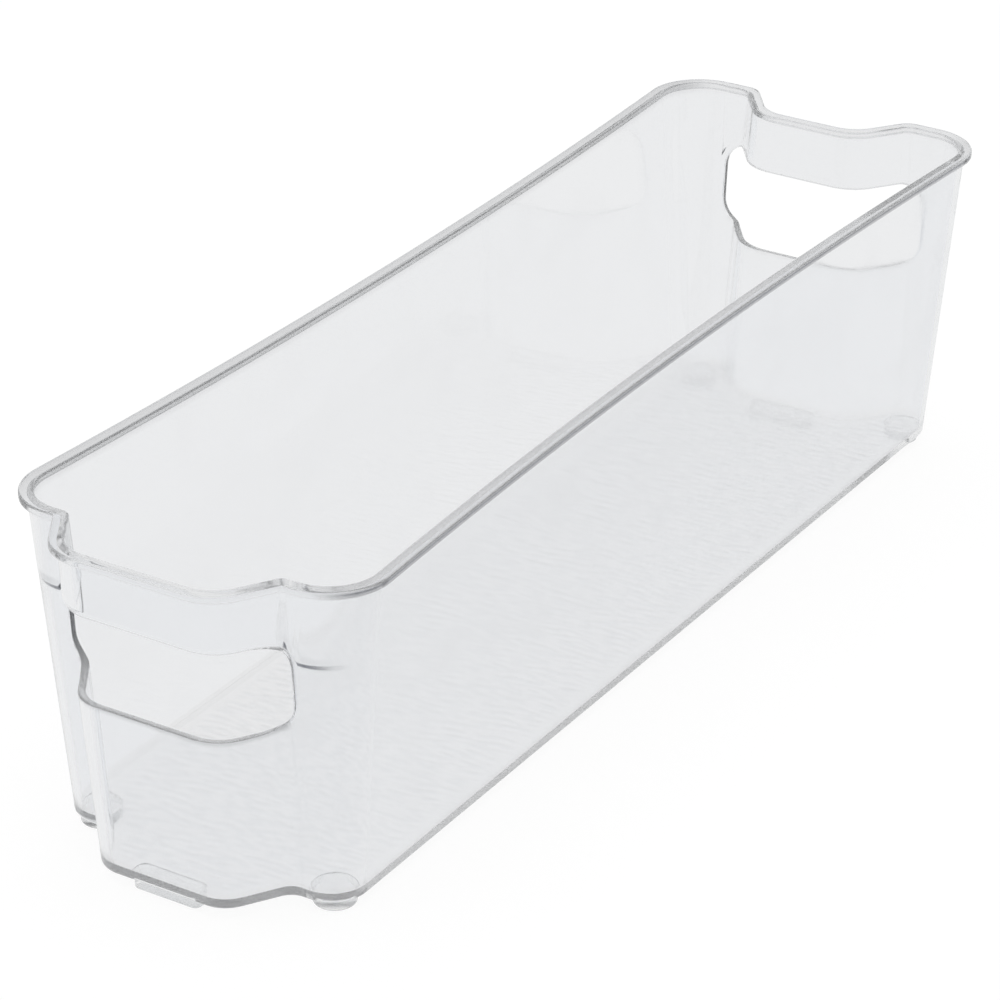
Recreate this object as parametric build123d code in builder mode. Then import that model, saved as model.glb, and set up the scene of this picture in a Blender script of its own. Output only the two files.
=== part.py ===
"""Clear storage bin: a long open tub with a hand hole in each end, standing on small clear pads.

Millimetres, +Z up. X is the width, Y the length, and the end whose middle panel stands out is the
front, at -Y. The origin is on the ground, under the middle of the bin's length and width.
"""

import os
from math import atan, cos, pi, radians, sin, sqrt, tan

from build123d import *

# Rim, measured to the outer edge of the lip
rim_width = 105.0
rim_length = 340.0  # over the corner columns, without the panel that stands out
rim_corner_radius = 16.6
rim_bow = 4.6  # how far the middle of each long side is drawn in
lip_overhang = 2.1
lip_height = 2.3
lip_edge = 0.4  # broken edges are given by their width and height
mouth_edge = 0.6

# Walls and floor
tub_height = 91.8  # underside of the floor to the top of the rim
wall_thickness = 1.9
wall_lean = 6.8  # how much farther out the wall is under the lip than at the base
base_corner_radius = 10.2
corner_arcs = 3  # each corner of the tub is drawn in this many arcs
base_edge = 0.7
floor_thickness = 2.4
floor_corner = 1.5

# Front end, at the rim: the middle panel stands out between two S-curves
bulge_depth = 15.8
bulge_margin = 28.9  # from the rim's side to the sharp corner that the S-curve rounds off
bulge_angle = 58.0
bulge_edge_radius = 13.4
bulge_root_radius = 1.2

# Rear end, at the rim: the middle panel is set in between two S-curves
recess_depth = 14.8
recess_margin = 37.9
recess_angle = 54.0
recess_edge_radius = 5.9
recess_root_radius = 10.8

# Going in from the rim, outward roundings shrink and inward ones grow by this share of the way
radius_step = 0.45

# Hand holes, with heights above the underside of the floor
hole_margin = 19.6  # from the rim's side
hole_bottom = 49.4
hole_top = 74.2
hole_bottom_radius = 7.5
hole_top_radius = 7.0

# Grip bands over the hand holes: the wall is thicker there, down to a ledge on the corner columns
ledge_height = 69.6
ledge_depth = 0.8
band_depth_at_lip = 0.15
band_side_inset = 1.3  # sets how far round the corners the ledge runs before it fades out
band_margin_top = 23.0  # from the rim's side to the S-curve that drops from the hole's top to the ledge
band_margin_bottom = 18.0
band_gap_radius = 5.0

# Pads, seated in shallow pockets in the underside
foot_height = 3.2  # ground to the underside of the floor
foot_diameter = 11.2
bar_length = 20.0
bar_width = 6.0
bar_corner_radius = 2.0
pad_margin = 1.4  # from a pad to the edge of the base
pad_edge = 0.4
pocket_depth = 0.6
pocket_clearance = 0.15

base_level = foot_height
floor_level = base_level + floor_thickness
ledge_level = base_level + ledge_height
top_level = base_level + tub_height
lip_level = top_level - lip_height
base_inset = lip_overhang + wall_lean
bulge_half_width = rim_width / 2 - bulge_margin
recess_half_width = rim_width / 2 - recess_margin
hole_width = rim_width - 2 * hole_margin
band_gap_top = rim_width / 2 - band_margin_top
band_gap_bottom = rim_width / 2 - band_margin_bottom
columns_y = bulge_depth / 2  # the middle between the corner columns lies this far behind the origin
front, rear = -1, 1

# Places of the pads, from the middle between the columns: round ones on the diagonals of the base's
# corners, bars along its panels
corner_reach = base_corner_radius - (base_corner_radius - pad_margin - foot_diameter / 2) / sqrt(2)
foot_x = rim_width / 2 - base_inset - corner_reach
foot_y = rim_length / 2 - base_inset - corner_reach
feet = {
    "foot_front_left": (-foot_x, -foot_y),
    "foot_front_right": (foot_x, -foot_y),
    "foot_rear_left": (-foot_x, foot_y),
    "foot_rear_right": (foot_x, foot_y),
}
bar_reach = base_inset + pad_margin + bar_width / 2
bars = {
    "bar_foot_front": (0, bar_reach - rim_length / 2 - bulge_depth),
    "bar_foot_rear": (0, rim_length / 2 - recess_depth - bar_reach),
}


def level_plane(level):
    """Horizontal plane at one level, centred between the corner columns."""
    return Plane((0, columns_y, level))


def rounding(before, corner, after, radius):
    """Start, middle and end of the arc that rounds one corner of a path."""
    tip = Vector(*corner)
    back = (Vector(*before) - tip).normalized()
    ahead = (Vector(*after) - tip).normalized()
    half_angle = radians(back.get_angle(ahead)) / 2
    reach = radius / tan(half_angle)
    inward = (back + ahead).normalized()
    middle = tip + inward * (radius / sin(half_angle) - radius)
    return [tip + back * reach, middle, tip + ahead * reach]


def mirrored(arc):
    """The same arc on the other side of the YZ plane, run backwards."""
    return [Vector(-point.X, point.Y) for point in reversed(arc)]


def front_step(inset):
    """The S-curve right of the front panel, as two arcs that run from the panel to the column."""
    angle = radians(bulge_angle)
    column_y = inset - rim_length / 2
    panel_y = column_y - bulge_depth
    edge_x = bulge_half_width - inset * tan(angle / 2)
    root_x = edge_x + bulge_depth / tan(angle)
    edge_radius = bulge_edge_radius - radius_step * inset
    root_radius = bulge_root_radius + radius_step * inset
    edge = rounding((0, panel_y), (edge_x, panel_y), (root_x, column_y), edge_radius)
    root = rounding((edge_x, panel_y), (root_x, column_y), (rim_width, column_y), root_radius)
    return [edge, root]


def rear_step(inset):
    """The S-curve right of the rear panel, as two arcs that run from the panel to the column."""
    angle = radians(recess_angle)
    column_y = rim_length / 2 - inset
    panel_y = column_y - recess_depth
    root_x = recess_half_width + inset * tan(angle / 2)
    edge_x = root_x + recess_depth / tan(angle)
    edge_radius = recess_edge_radius - radius_step * inset
    root_radius = recess_root_radius + radius_step * inset
    root = rounding((0, panel_y), (root_x, panel_y), (edge_x, column_y), root_radius)
    edge = rounding((root_x, panel_y), (edge_x, column_y), (rim_width, column_y), edge_radius)
    return [root, edge]


def right_side(inset, corner_radius, bow):
    """The right side: its front corner's arcs, the middle of its bowed stretch, and its rear corner's arcs."""
    half_width = rim_width / 2 - inset
    half_length = rim_length / 2 - inset
    sway = 2 * atan(bow / (half_length - corner_radius))
    centre = Vector(half_width - corner_radius, corner_radius - half_length)
    turn = (pi / 2 + sway) / corner_arcs
    front_corner = []
    for place in range(corner_arcs):
        turns = [(place + share) * turn - pi / 2 for share in (0, 0.5, 1)]
        front_corner.append([centre + Vector(cos(turn), sin(turn)) * corner_radius for turn in turns])
    rear_corner = [[Vector(point.X, -point.Y) for point in reversed(arc)] for arc in reversed(front_corner)]
    start = rear_corner[0][0]
    waist = Vector(start.X - start.Y * tan(sway / 2), 0)
    return front_corner, waist, rear_corner


def outline(level, inset, corner_radius, bow):
    """Face inside the bin's outline at one level, moved in from the rim by the inset."""
    front_corner, waist, rear_corner = right_side(inset, corner_radius, bow)
    rear_arcs = [arc[::-1] for arc in reversed(rear_step(inset))]
    right = front_step(inset) + front_corner + rear_corner + rear_arcs
    arcs = right + [mirrored(arc) for arc in reversed(right)]
    after_side = right.index(rear_corner[0])
    waists = {after_side: waist, len(arcs) - after_side: mirrored([waist])[0]}
    edges = []
    for place, arc in enumerate(arcs):
        start = arcs[place - 1][-1]
        if bow and place in waists:
            edges.append(Edge.make_three_point_arc(start, waists[place], arc[0]))
        elif start != arc[0]:
            edges.append(Edge.make_line(start, arc[0]))
        edges.append(Edge.make_three_point_arc(*arc))
    return level_plane(level) * Face(Wire(edges))


def wall_at(level):
    """Inset and corner radius of the wall's outer face, and its bow, at one level."""
    rise = (level - base_level) / (lip_level - base_level)
    lip_radius = rim_corner_radius - lip_overhang
    radius = base_corner_radius + rise * (lip_radius - base_corner_radius)
    return base_inset - rise * wall_lean, radius, rise * rim_bow


def wall_outline(level, depth):
    """Outline of the leaning wall at one level, at a depth in from its outer face."""
    inset, radius, bow = wall_at(level)
    return outline(level, inset + depth, radius - depth, bow)


def band_outline(level, end, stand_out):
    """Outline of a grip band at one level: that end of the wall, moved out along Y."""
    inset, radius, _ = wall_at(level)
    half_width = rim_width / 2 - inset - band_side_inset
    column_y = end * (rim_length / 2 - inset + stand_out)
    side_y = column_y - end * 2 * radius
    steps = front_step(inset) if end == front else rear_step(inset)
    shift = Vector(0, end * stand_out)
    right = [[point + shift for point in arc] for arc in steps]
    side_radius = radius - band_side_inset
    right.append(rounding((0, column_y), (half_width, column_y), (half_width, side_y), side_radius))
    arcs = [mirrored(arc) for arc in reversed(right)] + right
    with BuildSketch(level_plane(level)) as face:
        with BuildLine():
            last = Vector(-half_width, side_y)
            for arc in arcs:
                Line(last, arc[0])
                ThreePointArc(*arc)
                last = arc[-1]
            Polyline(last, (half_width, side_y), (-half_width, side_y))
        make_face()
    return face.sketch


def pad_profile(name):
    """Footprint of one pad: a disc under a corner, or a bar under a panel."""
    with BuildSketch(level_plane(0)) as profile:
        if name in feet:
            with Locations(feet[name]):
                Circle(foot_diameter / 2)
        else:
            with Locations(bars[name]):
                RectangleRounded(bar_length, bar_width, bar_corner_radius)
    return profile.sketch


# The collar is the rim's lip and the two grip bands, down to half the wall's thickness inside
with BuildPart() as collar:
    extrude(outline(lip_level, 0, rim_corner_radius, rim_bow), amount=lip_height)
    chamfer(collar.edges().group_by(Axis.Z)[0] + collar.edges().group_by(Axis.Z)[-1], lip_edge)
    for end in (front, rear):
        foot_of_band = band_outline(ledge_level - band_gap_radius, end, ledge_depth)
        head_of_band = band_outline(lip_level + lip_height / 2, end, band_depth_at_lip)
        loft([foot_of_band, head_of_band], ruled=True)
    core_bottom = wall_outline(base_level, wall_thickness / 2)
    core_top = wall_outline(top_level + lip_height, wall_thickness / 2)
    loft([core_bottom, core_top], ruled=True, mode=Mode.SUBTRACT)
    with BuildSketch(Plane.XZ) as band_gap:
        with BuildLine():
            Polyline(
                (-rim_width, base_level),
                (rim_width, base_level),
                (rim_width, ledge_level),
                (band_gap_bottom, ledge_level),
                (band_gap_top, base_level + hole_top),
                (-band_gap_top, base_level + hole_top),
                (-band_gap_bottom, ledge_level),
                (-rim_width, ledge_level),
                close=True,
            )
        make_face()
        inner_corners = band_gap.vertices().filter_by_position(Axis.X, -rim_width / 2, rim_width / 2)
        fillet(inner_corners, band_gap_radius)
    extrude(amount=rim_length, both=True, mode=Mode.SUBTRACT)

with BuildPart() as tub:
    underside = wall_outline(base_level, base_edge)
    foot_of_wall = wall_outline(base_level + base_edge, 0)
    head_of_wall = wall_outline(top_level, 0)
    loft([underside, foot_of_wall, head_of_wall], ruled=True)
    floor = wall_outline(floor_level, wall_thickness + floor_corner)
    cavity_bottom = wall_outline(floor_level + floor_corner, wall_thickness)
    cavity_top = wall_outline(top_level - mouth_edge, wall_thickness)
    mouth = wall_outline(top_level, wall_thickness - mouth_edge)
    loft([floor, cavity_bottom, cavity_top, mouth], ruled=True, mode=Mode.SUBTRACT)
    with BuildSketch(Plane.XZ) as hand_hole:
        with Locations((0, base_level + (hole_bottom + hole_top) / 2)):
            Rectangle(hole_width, hole_top - hole_bottom)
        fillet(hand_hole.vertices().group_by(Axis.Y)[0], hole_bottom_radius)
        fillet(hand_hole.vertices().group_by(Axis.Y)[-1], hole_top_radius)
    extrude(amount=rim_length, both=True, mode=Mode.SUBTRACT)
    add(collar.part)
    with BuildSketch(level_plane(base_level)) as pockets:
        with Locations(*feet.values()):
            Circle(foot_diameter / 2 + pocket_clearance)
        with Locations(*bars.values()):
            RectangleRounded(
                bar_length + 2 * pocket_clearance,
                bar_width + 2 * pocket_clearance,
                bar_corner_radius + pocket_clearance,
            )
    extrude(amount=pocket_depth, mode=Mode.SUBTRACT)


os.makedirs("parts", exist_ok=True)
tub.part.label = "tub"
export_step(tub.part, "parts/tub.step")

for name in [*feet, *bars]:
    with BuildPart() as pad:
        extrude(pad_profile(name), amount=foot_height + pocket_depth)
        chamfer(pad.edges().group_by(Axis.Z)[0], pad_edge)
    pad.part.label = name
    export_step(pad.part, f"parts/{name}.step")
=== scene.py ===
"""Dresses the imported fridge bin: a clear tub with hand holes and a rippled floor, pads and a white stage.

Metres, +Z up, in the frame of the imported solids: X across the bin, Y along it, with the front end at -Y.
"""

from collections import namedtuple
from math import atan, cos, hypot, pi, radians, sin, sqrt, tan

import bmesh
import bpy
from bpy.props import FloatProperty, FloatVectorProperty, PointerProperty
from bpy.types import Operator, Panel, PropertyGroup
from mathutils import Matrix, Vector, noise


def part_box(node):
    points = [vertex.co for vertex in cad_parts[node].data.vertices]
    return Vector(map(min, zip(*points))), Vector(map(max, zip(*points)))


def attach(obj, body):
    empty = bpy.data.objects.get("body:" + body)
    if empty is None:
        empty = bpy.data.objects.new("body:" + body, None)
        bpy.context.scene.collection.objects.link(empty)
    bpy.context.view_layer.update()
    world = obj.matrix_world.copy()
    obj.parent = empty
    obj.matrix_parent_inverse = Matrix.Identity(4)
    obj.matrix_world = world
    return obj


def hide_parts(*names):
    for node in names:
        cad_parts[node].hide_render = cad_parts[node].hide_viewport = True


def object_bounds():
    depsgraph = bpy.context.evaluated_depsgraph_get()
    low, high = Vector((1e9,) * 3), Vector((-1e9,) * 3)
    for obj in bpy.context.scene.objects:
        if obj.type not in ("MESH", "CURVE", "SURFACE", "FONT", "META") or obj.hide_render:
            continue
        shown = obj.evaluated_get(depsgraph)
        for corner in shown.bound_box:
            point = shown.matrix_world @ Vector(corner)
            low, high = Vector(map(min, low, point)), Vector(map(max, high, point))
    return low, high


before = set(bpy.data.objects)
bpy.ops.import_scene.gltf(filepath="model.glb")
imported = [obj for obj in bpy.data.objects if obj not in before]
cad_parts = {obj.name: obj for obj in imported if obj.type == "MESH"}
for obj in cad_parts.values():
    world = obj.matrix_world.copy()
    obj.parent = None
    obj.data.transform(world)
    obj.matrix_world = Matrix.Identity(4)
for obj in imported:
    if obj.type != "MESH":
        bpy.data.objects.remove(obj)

bl_info = {
    "name": "Clear fridge bin",
    "version": (1, 0, 0),
    "blender": (4, 5, 0),
    "location": "View3D > Sidebar > Fridge bin",
    "description": "Models and finishes a clear fridge bin around its packed solids",
    "category": "Add Mesh",
}

MM = 0.001
FRONT, REAR = -1, 1
CAD_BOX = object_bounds()
TUB_LOW, TUB_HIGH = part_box("tub")
FEET = ("foot_front_left", "foot_front_right", "foot_rear_left", "foot_rear_right")
BARS = ("bar_foot_front", "bar_foot_rear")
LIGHT_BOUNCES = 96
WHITE = (1.0, 1.0, 1.0, 1.0)

# Fixed lengths
BAR_CORNER_RADIUS = 2.0 * MM
FLOOR_FLANGE = 2.6 * MM
BASE_FLANGE = 1.1 * MM
BAND_GAP = 1.5 * MM
BELOW_HOLE_GAP = 1.6 * MM
MERGE_DISTANCE = MM / 1000

# Rows of the skin, as shares of the way between two levels
HOLE_ROWS = 16
BELOW_HOLE_WAYS = (0.4, 0.7, 0.9)
ABOVE_HOLE_WAYS = (0.06, 0.15, 0.27, 0.4, 0.55, 0.7, 0.85)
BAND_WAYS = (1.0, 0.85, 0.7, 0.55, 0.4, 0.27, 0.13)
LIP_FACE_RISE = 0.62
REAR_LEDGE_AT_HOLE = 0.25

# Rows of the ledge: millimetres above the band's lower edge, and the share of the ledge's depth
LEDGE_STEPS = ((0.9, 1.0), (0.55, 0.9), (-0.55, 0.1), (-0.9, 0.0))

# Fineness and shading of round edges
ROUND_PROFILE = 0.5
SHARP_ANGLE = radians(38)
DISC_SEGMENTS = 56
BAR_CORNER_SEGMENTS = 8
PAD_EDGE_SEGMENTS = 4
HOLE_EDGE_SEGMENTS = 4
LIP_EDGE_SEGMENTS = 6
MOUTH_EDGE_SEGMENTS = 6
BASE_EDGE_SEGMENTS = 8
FLOOR_CORNER_SEGMENTS = 2

# How much painted shade the ledges, the hand holes' edges and the lip take
LEDGE_SHADE = (0.1, 1.0, 1.0, 0.1)
LEDGE_WEIGHT = {FRONT: 1.0, REAR: 0.0}
HOLE_SHADE = {FRONT: 0.9, REAR: 0.15}
HOLE_BOTTOM_SHARE = 0.5
LIP_SHADE = {"mouth": 0.4, "lip_top": 0.1, "lip_face": 1.0, "lip_bottom": 0.3}
END_LIP_SHADE = 0.08

# How frosted each row of the skin is
EDGE_FROST = {
    "floor": 1.0, "floor_corner": 1.0, "mouth": 0.4, "lip_top": 0.4, "lip_bottom": 0.4, "base": 0.8,
}

# Ripple of the floor: the crest's middle level and steepness, and the cells over which it fades in
CREST_MIDDLE = 0.6
CREST_STEEPNESS = 3.0
RIPPLE_FADE_CELLS = 4

# Noise in the finishes: waves for each metre, detail, and the levels that it is stretched from
HAZE_SCALE, HAZE_DETAIL, HAZE_LEVELS = 60.0, 3.0, (0.45, 0.75)
WAVES_SCALE, WAVES_DETAIL = 25.0, 0.0
CLOUD_SCALE, CLOUD_DETAIL = 300.0, 2.0
CLOUD_TINT_LEVELS, CLOUD_GLOSS_LEVELS = (0.35, 0.65), (0.3, 0.7)
PAD_DIM = 0.97
PAD_ROUGHNESS = (0.08, 0.2)


def length(name, millimetres, description):
    """A property for one size of the bin, given in millimetres and kept in metres."""
    return FloatProperty(
        name=name, description=description, default=millimetres * MM, min=0.0, precision=5, unit="LENGTH"
    )


def angle(name, degrees, description):
    """A property for one angle, given in degrees."""
    return FloatProperty(name=name, description=description, default=radians(degrees), subtype="ANGLE")


def share(name, default, description):
    """A property for a plain number."""
    return FloatProperty(name=name, description=description, default=default, precision=4)


def tint(name, default, description):
    """A property for a colour."""
    return FloatVectorProperty(
        name=name, description=description, default=default, size=3, min=0.0, max=1.0, subtype="COLOR"
    )


class TubSizes(PropertyGroup):
    """Sizes of the moulded tub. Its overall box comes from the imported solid."""

    rim_corner_radius: length("Rim corner radius", 16.6, "Radius of the rim's corners, at the lip")
    rim_bow: length("Rim bow", 4.6, "How far the middle of each long side is drawn in at the rim")
    lip_overhang: length("Lip overhang", 2.1, "How far the lip stands out from the wall")
    lip_height: length("Lip height", 2.3, "Height of the lip")
    lip_edge_radius: length("Lip edge radius", 0.6, "Rounding of the lip's outer edges")
    mouth_edge_radius: length("Mouth edge radius", 0.8, "Rounding of the rim's inner edge")
    wall_thickness: length("Wall thickness", 1.9, "Thickness of the walls")
    wall_lean: length("Wall lean", 6.8, "How much farther out the wall is under the lip than at the base")
    base_corner_radius: length("Base corner radius", 10.2, "Radius of the base's corners")
    base_edge_radius: length("Base edge radius", 0.9, "Rounding of the base's edge")
    floor_thickness: length("Floor thickness", 2.4, "Thickness of the floor")
    floor_fillet_radius: length("Floor fillet radius", 0.12, "Rounding inside, between floor and walls")
    bulge_depth: length("Bulge depth", 15.8, "How far the front panel stands out from its columns")
    bulge_half_width: length("Bulge half width", 23.6, "From the middle to the front panel's sharp corner")
    bulge_angle: angle("Bulge angle", 58.0, "Slope of the front S-curves")
    bulge_edge_radius: length("Bulge edge radius", 13.4, "Rounding at the front panel's edges")
    bulge_root_radius: length("Bulge root radius", 1.2, "Rounding where the front S-curve meets its column")
    recess_depth: length("Recess depth", 14.8, "How far the rear panel is set in from its columns")
    recess_half_width: length("Recess half width", 14.6, "From the middle to the rear panel's sharp corner")
    recess_angle: angle("Recess angle", 54.0, "Slope of the rear S-curves")
    recess_edge_radius: length("Recess edge radius", 5.9, "Rounding where the rear S-curve meets its column")
    recess_root_radius: length("Recess root radius", 10.8, "Rounding at the rear panel's edges")
    radius_step: share("Radius step", 0.45, "How much the S-curves' radii change with each unit of inset")
    hole_width: length("Hole width", 65.8, "Width of the hand holes")
    hole_bottom: length("Hole bottom", 49.4, "Bottom of the hand holes, above the underside of the floor")
    hole_top: length("Hole top", 74.2, "Top of the hand holes, above the underside of the floor")
    hole_bottom_radius: length("Hole bottom radius", 7.5, "Lower corners of the hand holes")
    hole_top_radius: length("Hole top radius", 7.0, "Upper corners of the hand holes")
    hole_edge_radius: length("Hole edge radius", 0.5, "Rounding of the hand holes' edges")
    ledge_height: length("Ledge height", 69.6, "Height of the grip bands' ledges on the columns")
    ledge_depth: length("Ledge depth", 0.8, "How far the grip bands stand out at the ledge")
    band_depth_at_lip: length("Band depth at lip", 0.15, "How far the grip bands stand out under the lip")
    band_gap_top: length("Band gap top", 55.0, "Where the S-curves of the bands' lower edges start, across")
    band_gap_bottom: length("Band gap bottom", 73.0, "Where those S-curves end, across")
    pocket_depth: length("Pocket depth", 0.6, "Depth of the pads' pockets in the underside")
    pocket_clearance: length("Pocket clearance", 0.15, "Room around a pad in its pocket")
    ripple_height: length("Ripple height", 0.09, "Height of the floor's fine ripple")
    ripple_long: length("Ripple length", 4.6, "Length of one wave of the ripple across the bin")
    ripple_short: length("Ripple pitch", 1.7, "Length of one wave of the ripple along the bin")
    ripple_cell_long: length("Ripple cell length", 1.1, "Mesh size across the bin of the rippled floor")
    ripple_cell_short: length("Ripple cell pitch", 0.55, "Mesh size along the bin of the rippled floor")


class PadSizes(PropertyGroup):
    """Sizes of the clear pads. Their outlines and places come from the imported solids."""

    edge_radius: length("Edge radius", 0.5, "Rounding of a pad's lower edge")
    seat_gap: length("Seat gap", 0.02, "Gap between a pad and the roof of its pocket")


class Finishes(PropertyGroup):
    """Colours, painted shade and surface of the two clear plastics."""

    plastic: tint("Plastic", (0.962, 0.97, 0.982), "Colour of light after one wall")
    plastic_floor: tint("Floor", (0.965, 0.968, 0.973), "Colour of light in the light dashes of the floor")
    # Painted shade in the ripple's troughs, which makes the floor's dark dashes
    trough_shade_colour: tint("Ripple", (0.89, 0.9, 0.912), "Colour of light in the dark dashes of the floor")
    plastic_depth: tint("Plastic depth", (0.0, 0.06, 0.12), "Colour that light takes on inside the plastic")
    plastic_density: share("Plastic density", 0.5, "How fast light fades inside the plastic, for each metre")
    plastic_ior: share("Plastic index", 1.56, "Index of refraction of the tub")
    plastic_smooth: share("Plastic gloss", 0.05, "Lowest roughness of the tub")
    plastic_hazy: share("Plastic haze", 0.1, "Highest roughness of the tub")
    plastic_frost: share("Plastic frost", 0.2, "Roughness of the floor and of other frosted places")
    # Painted shade: the colour that the ledges, the hand holes' edges and the lip are tinted towards
    edge_shade_colour: tint("Plastic edge", (0.05, 0.054, 0.068), "Colour of light in the darkest edges")
    waviness: length("Waviness", 0.003, "Depth of the moulding's slow waves")
    pad: tint("Pad", (0.996, 0.998, 0.998), "Colour of the pads")
    pad_ior: share("Pad index", 1.2, "Index of refraction of the pads")
    pad_clear: share("Pad clearness", 1.0, "Share of light that goes through a pad")


class StageSettings(PropertyGroup):
    """The floor, the light and the camera."""

    floor_size: length("Floor size", 8000.0, "Width and length of the floor")
    floor_gap: length("Floor gap", 0.05, "How far the floor lies under the pads")
    floor_glow: share("Floor glow", 0.93, "Share of the floor's white that no shadow falls on")
    floor_through: share("Floor through plastic", 0.87, "Brightness of the floor in clear pieces")
    sky_low: share("Sky at the horizon", 0.87, "Brightness of the studio near the floor")
    sky_high: share("Sky overhead", 0.8, "Brightness of the studio overhead")
    sky_turn: share("Sky turn", 0.45, "Height at which the studio is at its dimmest, as a share of one")
    lamp_size: length("Lamp size", 2000.0, "Width of the soft lamp")
    lamp_height: length("Lamp height", 1600.0, "Height of the soft lamp")
    lamp_power: share("Lamp power", 16.0, "Power of the soft lamp in watts")
    azimuth: angle("Azimuth", 31.748, "Camera's turn about the bin, from the front")
    elevation: angle("Elevation", 27.047, "Camera's angle above the floor")
    roll: angle("Roll", 0.298, "Camera's tilt")
    distance: length("Distance", 1155.8, "From the camera to its target")
    lens: share("Lens", 144.65, "Focal length in millimetres")
    target: FloatVectorProperty(
        name="Target", description="Point that the camera looks at", size=3, unit="LENGTH",
        subtype="TRANSLATION", default=(-31.09 * MM, 38.88 * MM, 12.92 * MM),
    )


class BinSettings(PropertyGroup):
    """All that can be set on the bin and its stage."""

    tub: PointerProperty(type=TubSizes)
    pads: PointerProperty(type=PadSizes)
    finishes: PointerProperty(type=Finishes)
    stage: PointerProperty(type=StageSettings)


class Link:
    """An output in a node tree. Sums and products of links add Math nodes."""

    def __init__(self, graph, socket):
        self.graph = graph
        self.socket = socket

    def math(self, operation, first, second):
        return self.graph.node("ShaderNodeMath", {"operation": operation}, {0: first, 1: second})

    def __add__(self, other):
        return self.math("ADD", self, other)

    def __radd__(self, other):
        return self.math("ADD", other, self)

    def __sub__(self, other):
        return self.math("SUBTRACT", self, other)

    def __rsub__(self, other):
        return self.math("SUBTRACT", other, self)

    def __mul__(self, other):
        return self.math("MULTIPLY", self, other)

    def __rmul__(self, other):
        return self.math("MULTIPLY", other, self)


class Graph:
    """The nodes of one material, or of the world."""

    def __init__(self, owner):
        owner.use_nodes = True
        self.tree = owner.node_tree
        self.tree.nodes.clear()

    def node(self, kind, settings=None, sockets=None, output=0):
        """Add a node: its settings first, then the values or links of its sockets. Gives one output."""
        made = self.tree.nodes.new(kind)
        for name, value in (settings or {}).items():
            setattr(made, name, value)
        for name, value in (sockets or {}).items():
            if isinstance(value, Link):
                self.tree.links.new(value.socket, made.inputs[name])
            else:
                made.inputs[name].default_value = value
        return Link(self, made.outputs[output]) if made.outputs else None

    def carried(self, name):
        """A value that the mesh carries as an attribute."""
        return self.node("ShaderNodeAttribute", {"attribute_name": name}, None, "Fac")

    def ray(self, kind):
        """One for rays of that kind, such as the camera's, and nought for all others."""
        return self.node("ShaderNodeLightPath", output=f"Is {kind} Ray")

    def clouds(self, scale, detail):
        """Noise that stays in place on the piece."""
        spot = self.node("ShaderNodeTexCoord", output="Object")
        return self.node("ShaderNodeTexNoise", None, {"Vector": spot, "Scale": scale, "Detail": detail})

    def blend(self, factor, first, second):
        """A colour between two colours."""
        factor_in, first_in, second_in, colour_out = 0, 6, 7, 2
        ends = {factor_in: factor, first_in: first, second_in: second}
        return self.node("ShaderNodeMix", {"data_type": "RGBA"}, ends, colour_out)

    def level(self, value, low, high, to_low=0.0, to_high=1.0):
        """A value moved smoothly from one range to another."""
        settings = {"interpolation_type": "SMOOTHSTEP", "clamp": True}
        ends = {"From Min": low, "From Max": high, "To Min": to_low, "To Max": to_high}
        return self.node("ShaderNodeMapRange", settings, {"Value": value, **ends})

    def surface(self, shader, volume=None):
        sockets = {"Surface": shader}
        if volume is not None:
            sockets["Volume"] = volume
        self.node("ShaderNodeOutputMaterial", None, sockets)


def opaque(colour):
    """A colour property with its alpha of one."""
    return (*colour, 1.0)


def clear_plastic(finishes):
    """Polished clear plastic with slow waves, a frosted floor of fine dashes with painted shade in their
    troughs, frosted edges, and painted shade along the ledges, the hand holes' edges and the lip.
    """
    material = bpy.data.materials.new("clear_plastic")
    graph = Graph(material)
    frost = graph.carried("frost")
    plain = graph.blend(frost, opaque(finishes.plastic), opaque(finishes.plastic_floor))
    # Painted shade in the ripple's troughs
    dashed = graph.blend(graph.carried("painted_trough_shade"), plain, opaque(finishes.trough_shade_colour))
    # Painted shade, carried by the mesh, along the ledges, the hand holes' edges and the lip
    colour = graph.blend(graph.carried("painted_edge_shade"), dashed, opaque(finishes.edge_shade_colour))
    haze = graph.clouds(HAZE_SCALE, HAZE_DETAIL)
    polished = graph.level(haze, *HAZE_LEVELS, finishes.plastic_smooth, finishes.plastic_hazy)
    roughness = polished * (1 - frost) + finishes.plastic_frost * frost
    waves = graph.clouds(WAVES_SCALE, WAVES_DETAIL)
    relief = {"Height": waves, "Distance": finishes.waviness, "Strength": 1.0}
    normal = graph.node("ShaderNodeBump", None, relief)
    skin = graph.node("ShaderNodeBsdfPrincipled", None, {
        "Base Color": colour, "Roughness": roughness, "Normal": normal,
        "IOR": finishes.plastic_ior, "Transmission Weight": 1.0,
    })
    depth = {"Color": opaque(finishes.plastic_depth), "Density": finishes.plastic_density}
    graph.surface(skin, graph.node("ShaderNodeVolumeAbsorption", None, depth))
    return material


def clear_pad(finishes):
    """Soft clear plastic, a little cloudy."""
    material = bpy.data.materials.new("clear_pad")
    graph = Graph(material)
    cloud = graph.clouds(CLOUD_SCALE, CLOUD_DETAIL)
    pale = opaque(finishes.pad)
    dim = opaque([part * PAD_DIM for part in finishes.pad])
    graph.surface(graph.node("ShaderNodeBsdfPrincipled", None, {
        "Base Color": graph.blend(graph.level(cloud, *CLOUD_TINT_LEVELS), pale, dim),
        "Roughness": graph.level(cloud, *CLOUD_GLOSS_LEVELS, *PAD_ROUGHNESS),
        "IOR": finishes.pad_ior, "Transmission Weight": finishes.pad_clear,
    }))
    return material


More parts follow.
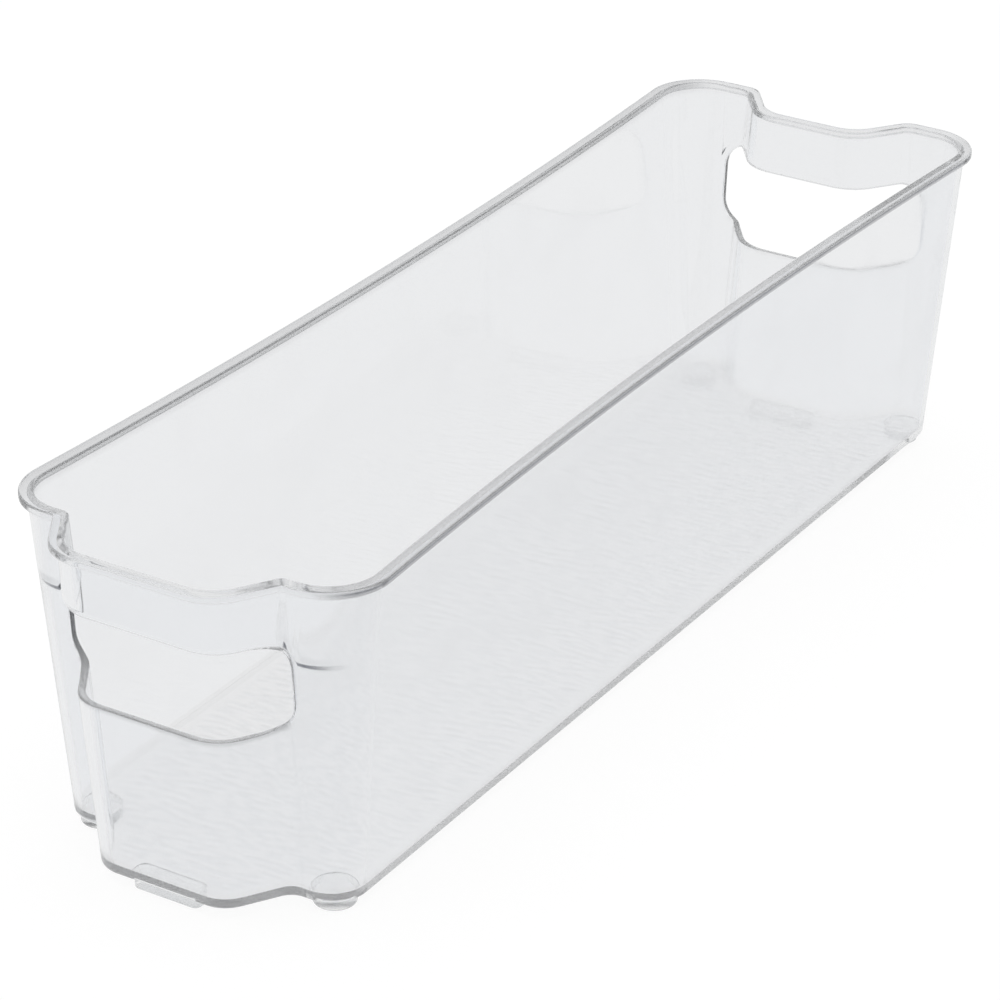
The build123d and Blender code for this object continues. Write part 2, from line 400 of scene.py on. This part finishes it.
def add_piece(context, mesh, name, node, material):
    """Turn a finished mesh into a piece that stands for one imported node."""
    bmesh.ops.recalc_face_normals(mesh, faces=mesh.faces)
    data = bpy.data.meshes.new(name)
    mesh.to_mesh(data)
    mesh.free()
    data.shade_smooth()
    data.set_sharp_from_angle(angle=SHARP_ANGLE)
    data.materials.append(material)
    piece = bpy.data.objects.new(name, data)
    context.scene.collection.objects.link(piece)
    flats = piece.modifiers.new("flats_stay_flat", "WEIGHTED_NORMAL")
    flats.keep_sharp = True
    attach(piece, "root")
    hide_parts(node)


def clamp(value):
    """A value kept between nought and one."""
    return min(1.0, max(0.0, value))


def climb(way):
    """A smooth step up from nought to one."""
    return (1 - cos(pi * way)) / 2


def fall(way):
    """A smooth step down from one to nought."""
    return (1 + cos(pi * way)) / 2


def bevel(mesh, parts, offset, segments, affect="EDGES"):
    """Round some edges, or some corners of a flat face."""
    bmesh.ops.bevel(
        mesh, geom=parts, offset=offset, offset_type="OFFSET", segments=segments, profile=ROUND_PROFILE,
        affect=affect, material=-1,
    )


def lift(mesh, face, height, keep_face):
    """Extrude a face upward."""
    lifted = bmesh.ops.extrude_face_region(mesh, geom=[face], use_keep_orig=keep_face)["geom"]
    verts = [item for item in lifted if isinstance(item, bmesh.types.BMVert)]
    bmesh.ops.translate(mesh, verts=verts, vec=(0.0, 0.0, height))


class Outline:
    """The plan of the bin, and where its skin lies at each level."""

    Station = namedtuple("Station", "part end side place")

    def __init__(self, sizes):
        self.sizes = sizes
        self.base_level = TUB_LOW.z
        self.top_level = TUB_HIGH.z
        self.lip_level = self.top_level - sizes.lip_height
        self.floor_level = self.base_level + sizes.floor_thickness
        self.rim_half_width = (TUB_HIGH.x - TUB_LOW.x) / 2
        self.rim_half_length = (TUB_HIGH.y - TUB_LOW.y - sizes.bulge_depth) / 2
        self.columns_y = (TUB_LOW.y + TUB_HIGH.y + sizes.bulge_depth) / 2
        self.base_inset = sizes.lip_overhang + sizes.wall_lean
        self.hole_half = sizes.hole_width / 2
        self.hole_low = self.base_level + sizes.hole_bottom
        self.hole_high = self.base_level + sizes.hole_top
        self.ledge_level = self.base_level + sizes.ledge_height

    def panel_shift(self, end, x, inset):
        """How far an end wall lies beyond its corner columns at x."""
        sizes = self.sizes
        shrink = sizes.radius_step * inset
        if end == FRONT:
            depth, slope_angle = sizes.bulge_depth, sizes.bulge_angle
            corner_x = sizes.bulge_half_width - inset * tan(slope_angle / 2)
            panel_radius = sizes.bulge_edge_radius - shrink
            column_radius = sizes.bulge_root_radius + shrink
        else:
            depth, slope_angle = sizes.recess_depth, sizes.recess_angle
            corner_x = sizes.recess_half_width + inset * tan(slope_angle / 2)
            panel_radius = sizes.recess_root_radius + shrink
            column_radius = sizes.recess_edge_radius - shrink
        slope = tan(slope_angle)
        reach = tan(slope_angle / 2)
        panel_end = corner_x - panel_radius * reach
        column_start = corner_x + depth / slope + column_radius * reach
        if x <= panel_end:
            travel = 0.0
        elif x < panel_end + panel_radius * sin(slope_angle):
            travel = panel_radius - sqrt(panel_radius**2 - (x - panel_end) ** 2)
        elif x < column_start - column_radius * sin(slope_angle):
            travel = (x - corner_x) * slope
        elif x < column_start:
            travel = depth - column_radius + sqrt(column_radius**2 - (column_start - x) ** 2)
        else:
            travel = depth
        return -end * (depth - travel)

    def stations(self):
        """Places around the outline: from the front's middle along the right side to the rear, and back."""
        panel_steps, hole_steps, column_steps, turn_steps, side_steps = 40, 22, 12, 16, 28
        corner_zone = self.sizes.hole_bottom_radius
        across = [(self.hole_half - corner_zone) * step / panel_steps for step in range(panel_steps)]
        across += [self.hole_half - corner_zone * (1 - step / hole_steps) for step in range(hole_steps + 1)]
        ways = [step / column_steps for step in range(1, column_steps)]
        turns = [step / turn_steps for step in range(turn_steps + 1)]
        places = [2 * step / side_steps - 1 for step in range(1, side_steps)]
        front = [("end", x) for x in across]
        front += [("column", way) for way in ways]
        front += [("corner", turn) for turn in turns]
        right = [(part, FRONT, place) for part, place in front]
        right += [("side", REAR, place) for place in places]
        right += [(part, REAR, place) for part, place in reversed(front)]
        left = reversed(right[1:-1])
        loop = [self.Station(part, end, 1, place) for part, end, place in right]
        return loop + [self.Station(part, end, -1, place) for part, end, place in left]

    def plan_point(self, station, inset, radius, bow, x=None):
        """The outline's point at one station, moved in from the rim by the inset."""
        half_width = self.rim_half_width - inset
        half_length = self.rim_half_length - inset
        sway = 2 * atan(bow / (half_length - radius))
        if station.part in ("end", "column"):
            if x is None:
                x = self.hole_half if station.part == "column" else station.place
            if station.part == "column":
                x += station.place * (half_width - radius - x)
            along = half_length + self.panel_shift(station.end, x, inset)
        elif station.part == "corner":
            turn = station.place * (pi / 2 + sway)
            x = half_width - radius + radius * sin(turn)
            along = half_length - radius + radius * cos(turn)
        else:
            edge_x = half_width - radius + radius * cos(sway)
            edge_y = half_length - radius - radius * sin(sway)
            along = station.place * edge_y
            sag = edge_y * tan(sway / 2)
            bend = (edge_y**2 + sag**2) / (2 * sag) if sag > 0 else 0.0
            x = edge_x - sag + bend - sqrt(bend**2 - along**2) if sag > 0 else edge_x
        return station.side * x, self.columns_y + station.end * along

    def skin_point(self, station, level, depth=0.0, stand_out=0.0):
        """A point of the leaning wall: at a depth in from its outer face, or standing out from it."""
        x = None
        if station.part == "end":
            x, level = self.round_hole(station.place, level)
        elif station.part == "column":
            x, rounded = self.round_hole(self.hole_half, level)
            level = rounded + station.place * (level - rounded)
        sizes = self.sizes
        rise = (level - self.base_level) / (self.lip_level - self.base_level)
        inset = self.base_inset - rise * sizes.wall_lean + depth
        lip_radius = sizes.rim_corner_radius - sizes.lip_overhang
        radius = sizes.base_corner_radius + rise * (lip_radius - sizes.base_corner_radius) - depth
        across, along = self.plan_point(station, inset, radius, rise * sizes.rim_bow, x)
        return Vector((across, along + station.end * stand_out, level))

    def rim_point(self, station, level):
        """A point of the lip's outer face."""
        across, along = self.plan_point(station, 0.0, self.sizes.rim_corner_radius, self.sizes.rim_bow)
        return Vector((across, along, level))

    def round_hole(self, x, level):
        """Moves a point near a corner of the hand hole so that the square corner becomes an arc."""
        fade = 8 * MM
        for corner_level, radius, up in (
            (self.hole_low, self.sizes.hole_bottom_radius, -1),
            (self.hole_high, self.sizes.hole_top_radius, 1),
        ):
            centre_x = self.hole_half - radius
            centre_level = corner_level - up * radius
            aside = x - centre_x
            above = up * (level - centre_level)
            if aside <= 0 or above <= 0:
                continue
            reach = hypot(aside, above)
            squareness = max(aside, above) / reach
            weight = 1 - (reach - radius / squareness) / fade
            grow = 1 + (squareness - 1) * clamp(weight)
            return centre_x + aside * grow, centre_level + up * above * grow
        return x, level

    def band_edge(self, station):
        """Level of the grip band's lower edge at one station."""
        x = self.plan_point(station, 0.0, self.sizes.rim_corner_radius, self.sizes.rim_bow)[0] * station.side
        start, finish = self.sizes.band_gap_top / 2, self.sizes.band_gap_bottom / 2
        way = clamp((x - start) / (finish - start))
        return self.ledge_level + (self.hole_high - self.ledge_level) * fall(way)

    def band_share(self, station):
        """How much of its depth the grip band has at one station: it fades out round the corners."""
        fade_start, fade_end = 0.12, 0.62
        if station.part == "side":
            return 0.0
        if station.part in ("end", "column"):
            return 1.0
        return fall(clamp((station.place - fade_start) / (fade_end - fade_start)))

    def ledge_share(self, station):
        """How much of its depth the ledge has at one station: at the rear it is weak by the hand hole."""
        if station.end == FRONT or station.part in ("corner", "side"):
            return self.band_share(station)
        away = station.place**3 if station.part == "column" else 0.0
        return REAR_LEDGE_AT_HOLE + (1 - REAR_LEDGE_AT_HOLE) * away

    def room(self, x, y, inset, radius):
        """About how far a point of the floor lies inside the outline with that inset."""
        half_width = self.rim_half_width - inset
        half_length = self.rim_half_length - inset
        end = FRONT if y < self.columns_y else REAR
        along = end * (y - self.columns_y)
        beside = half_width - abs(x)
        ahead = half_length + self.panel_shift(end, abs(x), inset) - along
        round_x = radius - beside
        round_y = along - half_length + radius
        if round_x > 0 and round_y > 0:
            return min(beside, ahead, radius - hypot(round_x, round_y))
        return min(beside, ahead)


def tub_sections(outline, station):
    """The skin's points at one station, in named sections from the floor over the rim to the underside."""
    sizes = outline.sizes
    wall = sizes.wall_thickness
    edge = outline.band_edge(station)
    low, high = outline.hole_low, outline.hole_high
    if station.part != "end":
        away = climb(station.place) if station.part == "column" else 1.0
        high += away * (edge - BAND_GAP - high)
    edge = max(edge, high + BAND_GAP)
    beside = [low + (high - low) * step / HOLE_ROWS for step in range(HOLE_ROWS + 1)]
    below = [low - BELOW_HOLE_GAP] + [low + way * (outline.base_level - low) for way in BELOW_HOLE_WAYS]
    above = [high + way * (outline.top_level - high) for way in ABOVE_HOLE_WAYS]
    depth = outline.ledge_share(station)
    ledge = [(edge + rise * MM, way * depth * sizes.ledge_depth) for rise, way in LEDGE_STEPS]
    ledge_top, ledge_out = ledge[0]
    lip_out = depth * sizes.band_depth_at_lip
    band = []
    for way in BAND_WAYS:
        level = ledge_top + way * (outline.lip_level - ledge_top)
        band.append((level, ledge_out + way * (lip_out - ledge_out)))

    def inside(levels):
        return [outline.skin_point(station, level, wall) for level in levels]

    def outside(levels):
        return [outline.skin_point(station, level) for level in levels]

    return {
        "floor": [outline.skin_point(station, outline.floor_level, wall + FLOOR_FLANGE)],
        "floor_corner": inside([outline.floor_level]),
        "inner_below": inside(reversed(below)),
        "inner_beside": inside(beside),
        "inner_above": inside(above),
        "mouth": inside([outline.top_level]),
        "lip_top": [outline.rim_point(station, outline.top_level)],
        "lip_face": [outline.rim_point(station, outline.lip_level + LIP_FACE_RISE * sizes.lip_height)],
        "lip_bottom": [outline.rim_point(station, outline.lip_level)],
        "band": [outline.skin_point(station, level, 0.0, out) for level, out in band],
        "ledge": [outline.skin_point(station, level, 0.0, out) for level, out in ledge],
        "outer_beside": outside(reversed(beside)),
        "outer_below": outside(below),
        "base": outside([outline.base_level]),
        "underside": [outline.skin_point(station, outline.base_level, BASE_FLANGE)],
    }


def footprint(mesh, node, grow, level):
    """A face in the shape of one pad, seen from above: a disc, or a bar with round corners."""
    before = set(mesh.faces)
    low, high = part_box(node)
    middle = Matrix.Translation(((low.x + high.x) / 2, (low.y + high.y) / 2, level))
    if node in FEET:
        radius = (high.x - low.x) / 2 + grow
        bmesh.ops.create_circle(mesh, cap_ends=True, segments=DISC_SEGMENTS, radius=radius, matrix=middle)
    else:
        size = Matrix.Diagonal(((high.x - low.x) / 2 + grow, (high.y - low.y) / 2 + grow, 1.0, 1.0))
        made = bmesh.ops.create_grid(mesh, x_segments=1, y_segments=1, size=1.0, matrix=middle @ size)
        bevel(mesh, made["verts"], BAR_CORNER_RADIUS + grow, BAR_CORNER_SEGMENTS, "VERTICES")
    return (set(mesh.faces) - before).pop()


class FRIDGE_BIN_OT_tub(Operator):
    """Model the tub: its skin, hand holes, rim, grip bands, rippled floor and pockets"""

    bl_idname = "fridge_bin.tub"
    bl_label = "Tub"

    def execute(self, context):
        outline = Outline(context.scene.fridge_bin.tub)
        mesh = bmesh.new()
        self.row_of = mesh.verts.layers.int.new("row")
        self.at_hole = mesh.verts.layers.int.new("at_hole")
        self.dark, self.frost, self.painted_trough_shade = [
            mesh.verts.layers.float.new(name) for name in ("painted_edge_shade", "frost", "painted_trough_shade")
        ]
        self.make_skin(mesh, outline)
        self.cut_holes(mesh, outline)
        self.round_edges(mesh, outline)
        self.make_floor(mesh, outline)
        self.make_underside(mesh, outline)
        material = clear_plastic(context.scene.fridge_bin.finishes)
        add_piece(context, mesh, "clear_tub", "tub", material)
        return {"FINISHED"}

    def make_skin(self, mesh, outline):
        """One grid, laid along the skin's rows and round its stations, and closed round the bin."""
        stations = outline.stations()
        columns = []
        for station in stations:
            sections = tub_sections(outline, station)
            columns.append([point for points in sections.values() for point in points])
        self.rows = [name for name, points in sections.items() for _ in points]
        ledge = self.rows.index("ledge")
        across, up = len(columns), len(self.rows)
        grid = bmesh.ops.create_grid(mesh, x_segments=up - 1, y_segments=across, size=1.0)["verts"]
        for place, vert in enumerate(grid):
            column, row = divmod(place, up)
            station = stations[column % across]
            vert.co = columns[column % across][row]
            vert[self.row_of] = row
            vert[self.at_hole] = station.part == "end"
            name = self.rows[row]
            at_end = outline.band_share(station)
            vert[self.frost] = EDGE_FROST.get(name, 0.0)
            # Painted shade along the ledges and the lip; the lip at the ends takes a little
            if name == "ledge" and station.part != "end":
                vert[self.dark] = LEDGE_SHADE[row - ledge] * LEDGE_WEIGHT[station.end] * at_end
            elif name in LIP_SHADE:
                vert[self.dark] = LIP_SHADE[name] * (1 - at_end) + END_LIP_SHADE * at_end
        bmesh.ops.remove_doubles(mesh, verts=mesh.verts, dist=MERGE_DISTANCE)

    def ring(self, mesh, name):
        """Edges of the skin that lie along one named row."""
        wanted = self.rows.index(name)
        return [edge for edge in mesh.edges if all(vert[self.row_of] == wanted for vert in edge.verts)]

    def cut_holes(self, mesh, outline):
        """Open the hand holes in both skins of the end walls and join the skins round them."""
        for name in ("inner_beside", "outer_beside"):
            wanted = {row for row, row_name in enumerate(self.rows) if row_name == name}
            opened = []
            for face in mesh.faces:
                if all(vert[self.at_hole] and vert[self.row_of] in wanted for vert in face.verts):
                    opened.append(face)
            bmesh.ops.delete(mesh, geom=opened, context="FACES")
        ends = {"floor", "underside"}
        self.hole_edges = []
        for end in (FRONT, REAR):
            loops = [
                edge for edge in mesh.edges
                if edge.is_boundary
                and self.rows[edge.verts[0][self.row_of]] not in ends
                and end * (edge.verts[0].co.y - outline.columns_y) > 0
            ]
            bmesh.ops.bridge_loops(mesh, edges=loops)
            self.hole_edges += loops
        # Painted shade along the hand holes' edges: most on the sides, half as much along the bottom, none
        # at the top
        for vert in {vert for edge in self.hole_edges for vert in edge.verts}:
            below_top = (outline.hole_high - vert.co.z) / outline.sizes.hole_top_radius
            above_bottom = (vert.co.z - outline.hole_low) / outline.sizes.hole_bottom_radius
            side = HOLE_BOTTOM_SHARE + (1 - HOLE_BOTTOM_SHARE) * clamp(above_bottom)
            end = FRONT if vert.co.y < outline.columns_y else REAR
            vert[self.dark] = HOLE_SHADE[end] * side * clamp(below_top)
            vert[self.frost] = EDGE_FROST["mouth"]

    def round_edges(self, mesh, outline):
        """Round the hand holes' edges, the lip, the mouth, the base and the floor's corner."""
        sizes = outline.sizes
        lip = self.ring(mesh, "lip_top") + self.ring(mesh, "lip_bottom")
        roundings = [
            (self.hole_edges, sizes.hole_edge_radius, HOLE_EDGE_SEGMENTS),
            (lip, sizes.lip_edge_radius, LIP_EDGE_SEGMENTS),
            (self.ring(mesh, "mouth"), sizes.mouth_edge_radius, MOUTH_EDGE_SEGMENTS),
            (self.ring(mesh, "base"), sizes.base_edge_radius, BASE_EDGE_SEGMENTS),
            (self.ring(mesh, "floor_corner"), sizes.floor_fillet_radius, FLOOR_CORNER_SEGMENTS),
        ]
        for edges, radius, segments in roundings:
            bevel(mesh, edges, radius, segments)

    def make_floor(self, mesh, outline):
        """Fill the floor with a fine rippled grid, joined to the fillet by flat triangles."""
        sizes = outline.sizes
        inset = outline.base_inset + sizes.wall_thickness + FLOOR_FLANGE
        radius = sizes.base_corner_radius - sizes.wall_thickness - FLOOR_FLANGE
        clear = sizes.ripple_cell_short
        fade_in = RIPPLE_FADE_CELLS * clear
        half_width = outline.rim_half_width - inset
        low_y, high_y = TUB_LOW.y + inset, TUB_HIGH.y - inset
        across = int(2 * half_width / sizes.ripple_cell_long)
        along = int((high_y - low_y) / sizes.ripple_cell_short)
        size = Matrix.Diagonal((half_width, (high_y - low_y) / 2, 1.0, 1.0))
        middle = Matrix.Translation((0.0, (low_y + high_y) / 2, outline.floor_level))
        rim = [edge for edge in self.ring(mesh, "floor") if edge.is_boundary]
        placing = middle @ size
        made = bmesh.ops.create_grid(mesh, x_segments=across, y_segments=along, size=1.0, matrix=placing)
        grid = made["verts"]
        room = {vert: outline.room(vert.co.x, vert.co.y, inset, radius) for vert in grid}
        outside = [vert for vert in grid if room[vert] < clear]
        inside = [vert for vert in grid if room[vert] >= clear]
        bmesh.ops.delete(mesh, geom=outside, context="VERTS")
        loose = [vert for vert in inside if not vert.link_faces]
        inside = [vert for vert in inside if vert.link_faces]
        bmesh.ops.delete(mesh, geom=loose, context="VERTS")
        border = {edge for vert in inside for edge in vert.link_edges if edge.is_boundary}
        bmesh.ops.triangle_fill(mesh, edges=rim + list(border), use_beauty=True, normal=(0.0, 0.0, 1.0))
        for vert in inside:
            x, y = vert.co.x, vert.co.y
            wave = noise.noise(Vector((x / sizes.ripple_long, y / sizes.ripple_short, 0.0)))
            crest = clamp(CREST_MIDDLE + CREST_STEEPNESS * wave)
            rippled = min(1.0, (room[vert] - clear) / fade_in)
            vert[self.frost] = EDGE_FROST["floor"]
            # Painted shade, deepest in the ripple's troughs
            vert[self.painted_trough_shade] = (1 - crest) * rippled
            vert.co.z += sizes.ripple_height * crest * rippled

    def make_underside(self, mesh, outline):
        """Close the underside, with a shallow pocket for each pad."""
        sizes = outline.sizes
        loops = [edge for edge in self.ring(mesh, "underside") if edge.is_boundary]
        for node in FEET + BARS:
            face = footprint(mesh, node, sizes.pocket_clearance, outline.base_level)
            loops += list(face.edges)
            lift(mesh, face, sizes.pocket_depth, False)
            if face.is_valid:
                bmesh.ops.delete(mesh, geom=[face], context="FACES_ONLY")
        bmesh.ops.triangle_fill(mesh, edges=loops, use_beauty=True, normal=(0.0, 0.0, -1.0))


class FRIDGE_BIN_OT_pads(Operator):
    """Model the clear pads: the discs under the corners and the bars under the ends"""

    bl_idname = "fridge_bin.pads"
    bl_label = "Pads"

    def execute(self, context):
        settings = context.scene.fridge_bin
        material = clear_pad(settings.finishes)
        for node in FEET + BARS:
            mesh = bmesh.new()
            low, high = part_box(node)
            face = footprint(mesh, node, 0.0, low.z)
            sole = list(face.edges)
            lift(mesh, face, high.z - low.z - settings.pads.seat_gap, True)
            bevel(mesh, sole, settings.pads.edge_radius, PAD_EDGE_SEGMENTS)
            add_piece(context, mesh, "clear_" + node, node, material)
        return {"FINISHED"}


class FRIDGE_BIN_OT_stage(Operator):
    """Set the stage: a white floor, a soft studio and the camera"""

    bl_idname = "fridge_bin.stage"
    bl_label = "Stage"

    def execute(self, context):
        stage = context.scene.fridge_bin.stage
        context.scene.view_settings.view_transform = "Standard"
        light = context.scene.cycles
        light.max_bounces = light.transmission_bounces = light.glossy_bounces = LIGHT_BOUNCES
        self.make_floor(context, stage)
        self.make_studio(context, stage)
        self.make_lamp(context, stage)
        self.make_camera(context, stage)
        return {"FINISHED"}

    def make_floor(self, context, stage):
        """A large white plane just under the pads. It glows where seen and keeps some of the shadow."""
        mesh = bmesh.new()
        under = Matrix.Translation((0.0, 0.0, CAD_BOX[0][2] - stage.floor_gap))
        bmesh.ops.create_grid(mesh, x_segments=1, y_segments=1, size=stage.floor_size / 2, matrix=under)
        data = bpy.data.meshes.new("white_floor")
        mesh.to_mesh(data)
        mesh.free()
        floor = bpy.data.objects.new("white_floor", data)
        context.scene.collection.objects.link(floor)
        material = bpy.data.materials.new("white_floor")
        data.materials.append(material)
        graph = Graph(material)
        camera = graph.ray("Camera")
        card = graph.node("ShaderNodeBsdfDiffuse", None, {"Color": WHITE})
        tone = camera + (1 - camera) * stage.floor_through
        glow = graph.node("ShaderNodeEmission", None, {"Color": WHITE, "Strength": tone})
        seen = (camera + graph.ray("Glossy") + graph.ray("Transmission")) * stage.floor_glow
        graph.surface(graph.node("ShaderNodeMixShader", None, {0: seen, 1: card, 2: glow}))

    def make_studio(self, context, stage):
        """A studio that is white round the horizon and dimmer overhead."""
        world = bpy.data.worlds.new("studio")
        context.scene.world = world
        graph = Graph(world)
        camera = graph.ray("Camera")
        way = graph.node("ShaderNodeTexCoord", output="Generated")
        height = graph.node("ShaderNodeSeparateXYZ", None, {"Vector": way}, "Z")
        sky = graph.level(height, 0.0, stage.sky_turn, stage.sky_low, stage.sky_high)
        tone = camera + (1 - camera) * sky
        glow = graph.node("ShaderNodeBackground", None, {"Color": WHITE, "Strength": tone})
        graph.node("ShaderNodeOutputWorld", None, {"Surface": glow})

    def make_lamp(self, context, stage):
        """One large soft lamp overhead, which the clear pieces don't mirror."""
        data = bpy.data.lights.new("soft_lamp", "AREA")
        data.size = stage.lamp_size
        data.energy = stage.lamp_power
        lamp = bpy.data.objects.new("soft_lamp", data)
        lamp.location = (0.0, 0.0, stage.lamp_height)
        lamp.visible_glossy = False
        lamp.visible_transmission = False
        context.scene.collection.objects.link(lamp)

    def make_camera(self, context, stage):
        """The camera at the photograph's viewing angle."""
        turn, rise = stage.azimuth, stage.elevation
        back = Vector((sin(turn) * cos(rise), -cos(turn) * cos(rise), sin(rise)))
        level_right = Vector((cos(turn), sin(turn), 0.0))
        level_up = back.cross(level_right)
        right = cos(stage.roll) * level_right + sin(stage.roll) * level_up
        up = back.cross(right)
        data = bpy.data.cameras.new("camera")
        data.lens = stage.lens
        camera = bpy.data.objects.new("camera", data)
        placing = Matrix((right, up, back)).transposed().to_4x4()
        placing.translation = Vector(stage.target) + stage.distance * back
        camera.matrix_world = placing
        context.scene.collection.objects.link(camera)
        context.scene.camera = camera


class FRIDGE_BIN_PT_panel(Panel):
    """Lists the bin's pieces and its stage"""

    bl_label = "Fridge bin"
    bl_idname = "FRIDGE_BIN_PT_panel"
    bl_space_type = "VIEW_3D"
    bl_region_type = "UI"
    bl_category = "Fridge bin"

    def draw(self, context):
        for operator in OPERATORS:
            self.layout.operator(operator.bl_idname)


OPERATORS = (FRIDGE_BIN_OT_tub, FRIDGE_BIN_OT_pads, FRIDGE_BIN_OT_stage)
CLASSES = (TubSizes, PadSizes, Finishes, StageSettings, BinSettings) + OPERATORS + (FRIDGE_BIN_PT_panel,)


def register():
    for item in CLASSES:
        bpy.utils.register_class(item)
    bpy.types.Scene.fridge_bin = PointerProperty(type=BinSettings)


def unregister():
    del bpy.types.Scene.fridge_bin
    for item in reversed(CLASSES):
        bpy.utils.unregister_class(item)


def main():
    register()
    bpy.ops.fridge_bin.tub()
    bpy.ops.fridge_bin.pads()
    bpy.ops.fridge_bin.stage()


if __name__ == "__main__":
    main()
